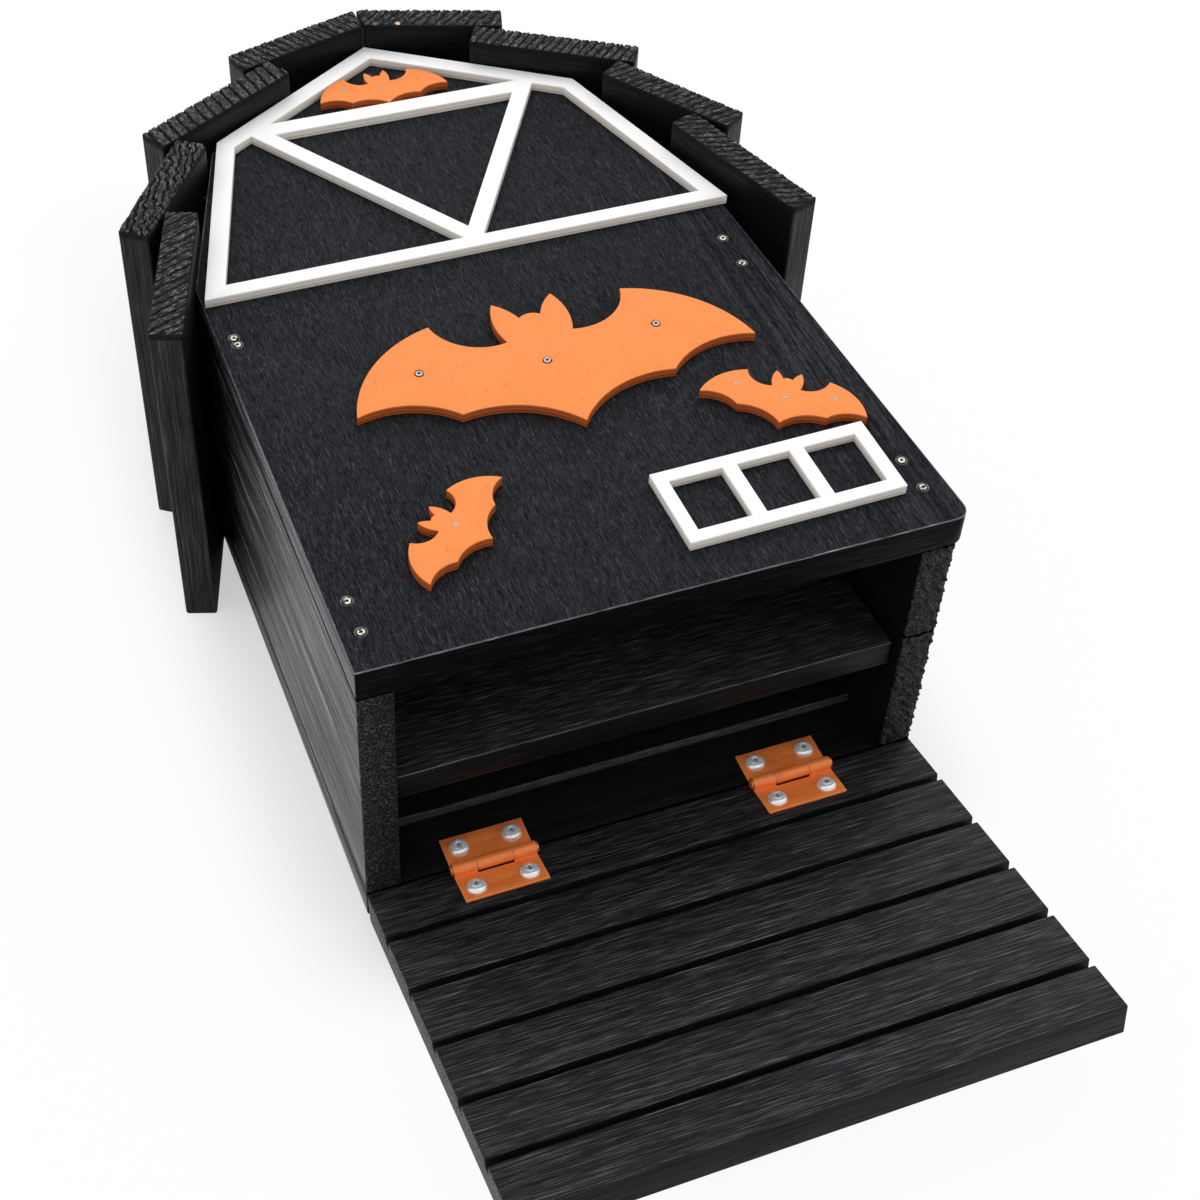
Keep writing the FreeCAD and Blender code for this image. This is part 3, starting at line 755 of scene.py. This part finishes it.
@dataclass(frozen=True)
class RoofBoard:
    """One lapped roof board: its side and number from the eaves, and how its end grain runs.

    The rings' pitch and relief are in millimetres. The wood texture repeats its bands every
    0.628 of its own diagonal, the band period.
    """

    place: str
    ring_angle: float
    ring_pitch: float
    grain: RingGrain
    relief: float = 1.15
    cell: float = 0.55 * MM
    skirt: float = 4.0 * MM
    edge: float = 0.8 * MM
    roof_middle: float = 0.1
    band_period: float = 0.628
    chip_size: Triple = (4.0 * MM, 1.2 * MM, 3.0 * MM)
    chip_depth: float = 0.9 * MM

    def build(self, nodes: Mapping[str, Piece], finishes: Sequence[Finish]) -> None:
        """Models the board with a rough sawn front end.

        Args:
            nodes: The CAD nodes by name.
            finishes: Finish of its long faces, of its inner face and of its eased edges, the last
                wear with a painted highlight.
        """
        side, inside, eased_strip_finish = finishes
        node = f"roof_board_{self.place}"
        piece = merged_copy(nodes[node], f"{node}_sawn")
        end = SawnEnd(node, self.ring_angle, self.relief * MM).material()
        for finish in (side, end, eased_strip_finish, inside):
            piece.data.materials.append(finish)
        dress(piece, 3, self._inward)
        round_edges(piece, self.edge, strip_slot=2)
        top = max(corner[2] for corner in piece.bound_box)
        self._grid(piece, top)
        self._carve(piece, top)
        smooth(piece, 50.0)
        hand_over(piece, node, "box")

    def _inward(self, centre: Vector, normal: Vector) -> bool:
        """Whether a face looks towards the inside of the roof."""
        inward = Vector((0.0, self.roof_middle, centre.z)) - centre
        return abs(normal.z) < 0.5 and normal.dot(inward) > 0.1

    def _grid(self, piece: Piece, top: float) -> None:
        """Cuts the front end into cells small enough to carry the relief."""
        long_edge = self._longest(piece, top)
        across = Vector((-long_edge.y, long_edge.x, 0.0))
        corners = [Vector(vertex.co) for vertex in piece.data.vertices]
        low = top - self.skirt
        open_all()
        slice_all((0.0, 0.0, low), UP)
        pick_faces(piece, lambda centre, normal: centre.z > low)
        bpy.context.object.active_material_index = 1
        bpy.ops.object.material_slot_assign()
        ways = (long_edge, across)
        cut_cells(piece, corners, ways, self.cell, lambda centre, normal: centre.z > low)
        close()

    @staticmethod
    def _longest(piece: Piece, top: float) -> Vector:
        """Direction of the front end's longest edge."""
        spots, low = piece.data.vertices, top - 0.01 * MM
        ends = [[spots[index].co for index in edge.vertices] for edge in piece.data.edges]
        edges = [last - first for first, last in ends if min(first.z, last.z) > low]
        return max(edges, key=lambda edge: edge.length).normalized()

    def _carve(self, piece: Piece, top: float) -> None:
        """Sinks the soft wood between the rings and roughens what is left."""
        group = piece.vertex_groups.new(name="front_end")
        front = [v.index for v in piece.data.vertices if v.co.z > top - 1.6 * self.edge]
        group.add(front, 1.0, "REPLACE")
        turn = math.radians(self.ring_angle + 90.0)
        normal = Vector((math.cos(turn), math.sin(turn), 0.0))
        ring = self.ring_pitch * MM * math.sqrt(3.0) / self.band_period
        facing = Vector((1.0, 1.0, 1.0)).rotation_difference(normal)
        rings = bpy.data.textures.new(f"{self.place}_rings", "WOOD")
        rings.wood_type, rings.noise_basis_2 = "BANDNOISE", "SIN"
        rings.turbulence, rings.noise_scale = self.grain.value, 0.45
        rings.use_color_ramp = True
        soft, hard = rings.color_ramp.elements
        soft.color, hard.color, hard.position = (0.0, 0.0, 0.0, 1.0), WHITE, 0.20
        displace(piece, "front_end", Axis.Z, rings, facing, (ring, ring, ring), self.relief * MM)
        chips = bpy.data.textures.new(f"{self.place}_chips", "CLOUDS")
        chips.noise_scale, chips.noise_depth, chips.contrast = 1.0, 4, 2.0
        slant = Matrix.Rotation(math.radians(self.ring_angle), 3, "Z").to_quaternion()
        displace(piece, "front_end", Axis.Z, chips, slant, self.chip_size, self.chip_depth, 0.8)


ROOF_BOARDS = (
    RoofBoard("left_1", 22.0, 5.0, RingGrain.WAVY, 0.95),
    RoofBoard("left_2", 70.0, 4.2, RingGrain.KNOTTY),
    RoofBoard("left_3", 104.0, 6.6, RingGrain.STRAIGHT),
    RoofBoard("left_4", 124.0, 4.8, RingGrain.WAVY, 0.9),
    RoofBoard("right_4", 38.0, 5.0, RingGrain.WAVY, 0.8),
    RoofBoard("right_3", 42.0, 4.8, RingGrain.STRAIGHT, 1.0),
    RoofBoard("right_2", 12.0, 4.6, RingGrain.STRAIGHT, 0.75),
    RoofBoard("right_1", -12.0, 4.6, RingGrain.STRAIGHT, 0.75),
)


@dataclass(frozen=True)
class EasedPiece:
    """A piece that keeps its CAD shape, with its sharp edges eased as by sanding and paint."""

    node: str
    body: str
    slot: str
    edge: float
    close_bores: bool = False
    eased_finish_above: float = -1.0
    seams: float = 0.0
    torn: bool = False
    skirt: float = 3.0 * MM
    cell: float = 0.75 * MM
    chip_size: Triple = (8.0 * MM, 3.0 * MM, 1.9 * MM)
    chip_slant: float = 48.0
    end_strip: float = 0.3 * MM
    end_depth: float = 1.1 * MM
    corner_strip: float = 1.2 * MM
    corner_depth: float = 0.65 * MM

    def build(
        self, node: Piece, coat_of: Finish, eased_strip_finish: Finish | None = None,
        sides: Finish | None = None, ends: Finish | None = None,
    ) -> None:
        """Copies the node, eases its edges and dresses it.

        Args:
            node: The CAD node.
            coat_of: Finish of the faces.
            eased_strip_finish: Finish of the eased edges, where it differs: painted shade in the
                walls' joints, wear with a painted highlight on the boards' upper edges.
            sides: Finish of the outer faces to the left and right, where it differs.
            ends: Finish of the faces towards the flap and the ridge, where it differs.
        """
        piece = merged_copy(node, f"{self.node}_eased")
        if self.close_bores:
            self._close(piece)
        for finish in (coat_of, eased_strip_finish or coat_of, sides or coat_of, ends or coat_of):
            piece.data.materials.append(finish)
        dress(piece, 2, lambda centre, normal: abs(normal.x) > 0.9 and normal.x * centre.x > 0.0)
        dress(piece, 3, lambda centre, normal: abs(normal.y) > 0.9)
        # the eased strips take the second slot: painted shade in the walls' joints, wear with a
        # painted highlight on the boards' upper edges
        round_edges(piece, self.edge, strip_slot=1)
        # strips that stand upright, or lie below the given height, take the ends' finish; the
        # upward ones keep the eased strips' finish with its painted light
        for face in piece.data.polygons:
            plain = face.center.z < self.eased_finish_above or abs(face.normal.z) < 0.2
            if face.material_index == 1 and plain:
                face.material_index = 3
        # painted shade along the joints with the boards above and below
        if self.seams > 0.0:
            self._line_seams(piece)
        if self.torn:
            self._tear(piece)
        smooth(piece)
        hand_over(piece, self.node, self.body)

    def _line_seams(self, piece: Piece) -> None:
        """Paints shade on the outer side where it meets the boards above and below it."""
        heights = [vertex.co.z for vertex in piece.data.vertices]
        low, high = min(heights) + self.seams, max(heights) - self.seams
        open_all()
        for level in (low, high):
            slice_all((0.0, 0.0, level), UP)
        close()
        for face in piece.data.polygons:
            if face.material_index == 2 and not low < face.center.z < high:
                face.material_index = 1

    def _tear(self, piece: Piece) -> None:
        """Roughens the sawn end towards the flap and chips its outer corner."""
        spots = [Vector(vertex.co) for vertex in piece.data.vertices]
        end = min(spot.y for spot in spots)
        front, near, back = end + self.end_strip, end + 0.9 * self.skirt, end + self.skirt
        spots = [spot for spot in spots if spot.y < back]
        outer = max(spot.x for spot in spots) - self.corner_strip
        open_all()
        slice_all((0.0, back, 0.0), Vector((0.0, 1.0, 0.0)))
        ways = (Vector((1.0, 0.0, 0.0)), UP)
        cut_cells(piece, spots, ways, self.cell, lambda centre, normal: centre.y < back)
        close()
        chips = bpy.data.textures.new("wall_end_chips", "CLOUDS")
        chips.noise_scale, chips.noise_depth = 1.0, 2
        chips.contrast, chips.intensity = 3.0, 1.3
        slant = Matrix.Rotation(math.radians(self.chip_slant), 3, "Y").to_quaternion()
        for name, axis, depth, test in (
            ("sawn_end", Axis.Y, -self.end_depth, lambda at: at.y < front),
            ("outer_corner", Axis.X, self.corner_depth, lambda at: at.y < near and at.x > outer),
        ):
            group = piece.vertex_groups.new(name=name)
            torn = [vertex.index for vertex in piece.data.vertices if test(vertex.co)]
            group.add(torn, 1.0, "REPLACE")
            displace(piece, name, axis, chips, slant, self.chip_size, depth)

    @staticmethod
    def _close(piece: Piece) -> None:
        """Closes the screw bores, so that the paint meets the small screw heads."""
        open_all()
        shape = bmesh.from_edit_mesh(piece.data)
        left = {face for face in shape.faces if abs(face.normal.z) < 0.5}
        rings = []
        while left:
            wall = {left.pop()}
            ring = set(wall)
            while wall:
                near = {face for seed in wall for edge in seed.edges for face in edge.link_faces}
                wall = near & left
                left -= wall
                ring |= wall
            rings.append(ring)
        outline = max(rings, key=lambda ring: sum(face.calc_area() for face in ring))
        for face in shape.faces:
            face.select_set(any(face in ring for ring in rings if ring is not outline))
        bmesh.update_edit_mesh(piece.data)
        bpy.ops.mesh.delete(type="FACE")
        bpy.ops.mesh.select_all(action="SELECT")
        bpy.ops.mesh.fill_holes(sides=0)
        bpy.ops.mesh.dissolve_limited(angle_limit=FLAT_TURN)
        close()


@dataclass(frozen=True)
class Timber:
    """Walls, boards, the landing flap and the roof.

    A row names a board and the stains of its faces, eased edges, outer sides and ends.
    """

    edge: float = 0.55 * MM
    wall_edge: float = 0.85 * MM
    panel_top: float = 184.0 * MM
    # width of the painted shade along the walls' joints
    seams: float = 1.8 * MM
    rows: tuple[tuple[str, ...], ...] = (
        ("front_panel", "front", "bright_edge", "wall", "dull_end"),
        ("back_panel", "inside", "seam", "wall", "dull_end"),
        ("left_wall", "inside", "seam", "wall", "wall_end"),
        ("right_wall_rear", "inside", "seam", "wall", "wall_end"),
        ("right_wall_front", "inside", "seam", "wall", "wall_end"),
        ("partition", "brushed", "rubbed_edge", "brushed", "inside"),
        ("landing_flap", "brushed", "brushed", "flap_end", "inside"),
        ("back_liner", "inside", "rubbed_edge", "inside", "rubbed_edge"),
    )

    def build(self, nodes: Mapping[str, Piece]) -> None:
        """Builds the boards, each with the grain that it has."""
        stains = {stain.name: stain.material() for stain in BOARD_STAINS}
        for node, *finishes in self.rows:
            EasedPiece(
                node,
                "landing_flap" if node == "landing_flap" else "box",
                "black_wood",
                self.wall_edge if "seam" in finishes else self.edge,
                eased_finish_above=self.panel_top if node == "front_panel" else -1.0,
                seams=self.seams if "wall" in node else 0.0,
                torn=node.startswith("right_wall"),
            ).build(nodes[node], *(stains[name] for name in finishes))
        roof = [stain.material() for stain in ROOF_STAINS]
        for board in ROOF_BOARDS:
            board.build(nodes, roof)


@dataclass(frozen=True)
class Trims:
    """The white truss and window and the orange bats."""

    edge: float = 0.45 * MM
    white: TrimPaint = TrimPaint(
        "white_trim_paint", face=(0.91, 0.90, 0.885), edge=(0.90, 0.845, 0.785),
        line=(0.70, 0.61, 0.53), mark=(0.62, 0.61, 0.60), marks=0.35,
    )
    orange: TrimPaint = TrimPaint(
        "orange_bat_paint", face=(0.88, 0.262, 0.062), edge=(0.52, 0.115, 0.022),
        line=(0.24, 0.040, 0.007), mark=(0.50, 0.112, 0.022), marks=0.8,
    )

    def build(self, nodes: Mapping[str, Piece]) -> Finish:
        """Builds the cut-outs that lie on the front.

        Args:
            nodes: The CAD nodes by name.

        Returns:
            The bats' orange paint.
        """
        white, orange = self.white.material(), self.orange.material()
        for node in ("truss_trim", "window_trim"):
            EasedPiece(node, "box", "white_wood", self.edge).build(nodes[node], white)
        for node in ("large_bat", "right_bat", "lower_bat", "gable_bat"):
            bat = EasedPiece(node, "box", "orange_wood", self.edge, close_bores=True)
            bat.build(nodes[node], orange)
        return orange


@dataclass(frozen=True)
class HeadShape:
    """Sizes of a screw in millimetres, with its crown at the origin.

    The rim is a disc of a radius and a depth round a level. Each step is a rise and the share
    of its width that the new ring keeps. The lobes of the recess are a count, an outer and an
    inner reach and how narrow they get. The floor is the step down to its bottom, and the
    recess is the reach of its painted shade.
    """

    name: str
    slot: str
    rim: Triple
    crown: tuple[tuple[float, float], ...]
    lobes: tuple[int, float, float, float]
    floor: tuple[float, float]
    shank: tuple[tuple[float, float], ...]
    recess: float


DOME_STEPS = (
    (0.30, 0.975), (0.60, 0.945), (0.60, 0.90), (0.42, 0.84), (0.15, 0.72), (0.34, 0.93),
    (0.03, 0.88), (-0.15, 0.88), (0.0, 0.97),
)
DISH_STEPS = ((0.22, 0.90), (0.06, 0.80), (-0.04, 0.78))
DOME_SHANK = ((0.0, 1.75 / 5.25), (-13.0, 1.0), (-2.0, 0.2))
DISH_SHANK = ((-1.5, 0.6), (-10.0, 0.95), (-1.5, 0.2))


class ScrewHead(Enum):
    """The two heads used on the box: a domed washer head and a small dished flat one."""

    DOMED = HeadShape(
        "domed", "zinc_screws", (5.25, 0.5, -2.65), DOME_STEPS, (4, 1.55, 0.65, 3.0),
        (-1.0, 0.75), DOME_SHANK, 1.8,
    )
    FLAT = HeadShape(
        "flat", "wood_screws", (2.2, 0.3, -0.15), DISH_STEPS, (6, 1.22, 0.92, 1.0),
        (-1.4, 0.75), DISH_SHANK, 1.25,
    )


@dataclass(frozen=True)
class ScrewSet:
    """The screws of one CAD node, modelled once and set where the node has them.

    The one that was painted over is the one that lies past two places, one in X and one in Y.
    """

    node: str
    body: str
    head: ScrewHead
    bats: bool = False
    flat_share: float = 0.86
    small_share: float = 0.58
    large_bat: Triple = (80.0 * MM, 35.0 * MM, 30.0 * MM)
    painted_past: tuple[float, float] = (10.0 * MM, 200.0 * MM)
    recess_levels: tuple[float, float] = (-1.9 * MM, -0.12 * MM)
    facets: int = 32

    def build(
        self, node: Piece, metal: Finish, painted_recess_shade: Finish, painted: Finish | None = None
    ) -> None:
        """Places a copy of the screw at each of the node's solids.

        Args:
            node: The CAD node of the screws.
            metal: Their finish.
            painted_recess_shade: Painted shade inside the recess.
            painted: Finish of the gable bat's screw that was painted over.
        """
        places = self._places(node)
        pattern = self._pattern()
        pattern.data.materials.append(metal)
        pattern.data.materials.append(painted_recess_shade)
        # painted shade on the faces inside the recess
        dress(pattern, 1, self._in_recess)
        copies = []
        for place in places:
            take(pattern)
            bpy.ops.object.duplicate(linked=False)
            screw = bpy.context.object
            share = self._share(place.translation)
            screw.matrix_world = place @ Matrix.Diagonal((share, share, 1.0, 1.0))
            bpy.ops.object.transform_apply(location=True, rotation=True, scale=True)
            copies.append(screw)
        bpy.data.objects.remove(pattern)
        deselect()
        for screw in copies:
            screw.select_set(True)
        bpy.context.view_layer.objects.active = copies[0]
        bpy.ops.object.join()
        piece = bpy.context.object
        piece.name = f"{self.node}_{self.head.value.name}"
        if painted is not None:
            piece.data.materials.append(painted)
            side, up = self.painted_past
            dress(piece, 2, lambda centre, normal: centre.x > side and centre.y > up)
        smooth(piece, 32.0)
        hand_over(piece, self.node, self.body)

    def _in_recess(self, centre: Vector, normal: Vector) -> bool:
        """Whether a face of the pattern lies inside its recess."""
        low, high = self.recess_levels
        inside = math.hypot(centre.x, centre.y) < self.head.value.recess * MM
        return inside and low < centre.z < high

    def _share(self, spot: Vector) -> float:
        """Share of the full head size: the small bats have smaller screws."""
        if self.head is ScrewHead.DOMED:
            return 1.0
        half_width, middle, half_height = self.large_bat
        large = abs(spot.x) < half_width and abs(spot.y - middle) < half_height
        return self.flat_share if large or not self.bats else self.small_share

    @staticmethod
    def _places(node: Piece) -> list[Matrix]:
        """Finds each solid's head: its middle and outward direction, as a placing matrix."""
        merged_copy(node, "screw_spots")
        open_all()
        bpy.ops.mesh.separate(type="LOOSE")
        close()
        places = []
        for solid in [*bpy.context.selected_objects]:
            points = np.array([vertex.co[:] for vertex in solid.data.vertices])
            middle = points.mean(axis=0)
            axis = np.linalg.svd(points - middle)[2][0]
            along = (points - middle) @ axis
            spread = np.linalg.norm(points - middle - np.outer(along, axis), axis=1)
            if along[spread.argmax()] < 0.5 * (along.min() + along.max()):
                axis, along = -axis, -along
            crown = points[along > along.max() - 0.01 * MM]
            centre = Vector(0.5 * (crown.min(axis=0) + crown.max(axis=0)))
            facing = Vector(axis).to_track_quat("Z", "X").to_matrix().to_4x4()
            places.append(Matrix.Translation(centre) @ facing)
            bpy.data.objects.remove(solid)
        return places

    def _pattern(self) -> Piece:
        """Models the screw from its head's sizes: rim, crown, recess and shank."""
        shape = self.head.value
        radius, depth, level = (size * MM for size in shape.rim)
        deselect()
        bpy.ops.mesh.primitive_cylinder_add(
            vertices=self.facets, radius=radius, depth=depth, location=(0.0, 0.0, level)
        )
        screw = bpy.context.object
        bpy.ops.object.transform_apply(location=True)
        open_all()
        self._end(screw, up=True)
        self._steps(shape.crown)
        count, outer, inner, narrow = shape.lobes
        self._lobes(screw, count, outer * MM, inner * MM, narrow)
        self._steps([shape.floor])
        self._end(screw, up=False)
        self._steps(shape.shank)
        close()
        return screw

    @staticmethod
    def _end(screw: Piece, up: bool) -> None:
        """Selects the screw's topmost or lowest face."""
        shape = bmesh.from_edit_mesh(screw.data)
        heights = [face.calc_center_median().z for face in shape.faces if abs(face.normal.z) > 0.9]
        level = max(heights) if up else min(heights)
        near = 0.001 * MM
        pick_faces(screw, lambda spot, way: abs(spot.z - level) < near and abs(way.z) > 0.9)

    @staticmethod
    def _steps(steps: Sequence[tuple[float, float]]) -> None:
        """Extrudes the selected end step by step and scales each new face about the axis."""
        for rise, share in steps:
            rises = {"value": (0.0, 0.0, rise * MM)}
            bpy.ops.mesh.extrude_region_move(TRANSFORM_OT_translate=rises)
            bpy.ops.transform.resize(value=(share, share, 1.0), center_override=(0.0, 0.0, 0.0))

    @staticmethod
    def _lobes(screw: Piece, count: int, outer: float, inner: float, narrow: float) -> None:
        """Draws the selected ring into lobes between two reaches."""
        shape = bmesh.from_edit_mesh(screw.data)
        for vertex in shape.verts:
            if vertex.select:
                turn = math.atan2(vertex.co.y, vertex.co.x)
                swell = (0.5 + 0.5 * math.cos(count * turn)) ** narrow
                reach = inner + (outer - inner) * swell
                vertex.co.x, vertex.co.y = reach * math.cos(turn), reach * math.sin(turn)
        bmesh.update_edit_mesh(screw.data)


@dataclass(frozen=True)
class Fixings:
    """Hinges, screws and brads."""

    leaf_edge: float = 0.25 * MM

    def build(self, nodes: Mapping[str, Piece], orange: Finish) -> None:
        """Builds the metal parts.

        Args:
            nodes: The CAD nodes by name.
            orange: Paint of the bats, which one of their screws is under.
        """
        self._hinges(nodes)
        zinc = BarePlate("hinge_screw_zinc", (0.95, 0.98, 1.0), 0.18, 0.45).material()
        # painted shade in the slots of the hinge screws
        zinc_slot_shade = BarePlate("hinge_screw_slots", (0.34, 0.37, 0.40), 0.3, 0.55).material()
        for node, body in (("back_leaf_screws", "box"), ("flap_leaf_screws", "landing_flap")):
            screws = ScrewSet(node, body, ScrewHead.DOMED)
            screws.build(nodes[node], zinc, zinc_slot_shade)
        steel = BarePlate("panel_screw_steel", (0.78, 0.71, 0.61), 0.45, 0.7, 0.9).material()
        dark = BarePlate("bat_screw_steel", (0.50, 0.49, 0.47), 0.35, 0.8).material()
        # painted shade in the recess of the small screws
        painted_recess_shade = BarePlate("screw_recess", (0.05, 0.042, 0.035), 0.6, 0.3).material()
        for node in ("front_panel_screws", "back_screws", "partition_screws"):
            screws = ScrewSet(node, "box", ScrewHead.FLAT)
            screws.build(nodes[node], steel, painted_recess_shade)
        screws = ScrewSet("bat_screws", "box", ScrewHead.FLAT, bats=True)
        screws.build(nodes["bat_screws"], dark, painted_recess_shade, orange)
        coat(nodes["roof_nails"], BarePlate("brad_steel", (0.62, 0.58, 0.52), 0.4).material())

    def _hinges(self, nodes: Mapping[str, Piece]) -> None:
        """Builds the leaves, with a painted highlight on their eased edges, and plates the pins."""
        copper = BrushedCopper("hinge_copper").material()
        # painted highlight: a brighter copper on the leaves' eased edges
        edge = BrushedCopper("hinge_copper_edge", (1.0, 0.44, 0.18), (0.95, 0.32, 0.09), 0.25)
        copper_edge_highlight = edge.material()
        for side in ("left", "right"):
            for leaf, body in (("back", "box"), ("flap", "landing_flap")):
                node = f"hinge_{leaf}_leaf_{side}"
                piece = EasedPiece(node, body, "hinge_brass", self.leaf_edge)
                piece.build(nodes[node], copper, copper_edge_highlight)
            coat(nodes[f"hinge_pin_{side}"], copper)


def main() -> None:
    """Builds the looks round the frame, piece by piece."""
    logging.basicConfig(level=logging.INFO, format="%(name)s: %(message)s")
    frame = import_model()
    Studio().build()
    nodes = frame["nodes"]
    Timber().build(nodes)
    orange = Trims().build(nodes)
    Fixings().build(nodes, orange)


if __name__ == "__main__":
    main()
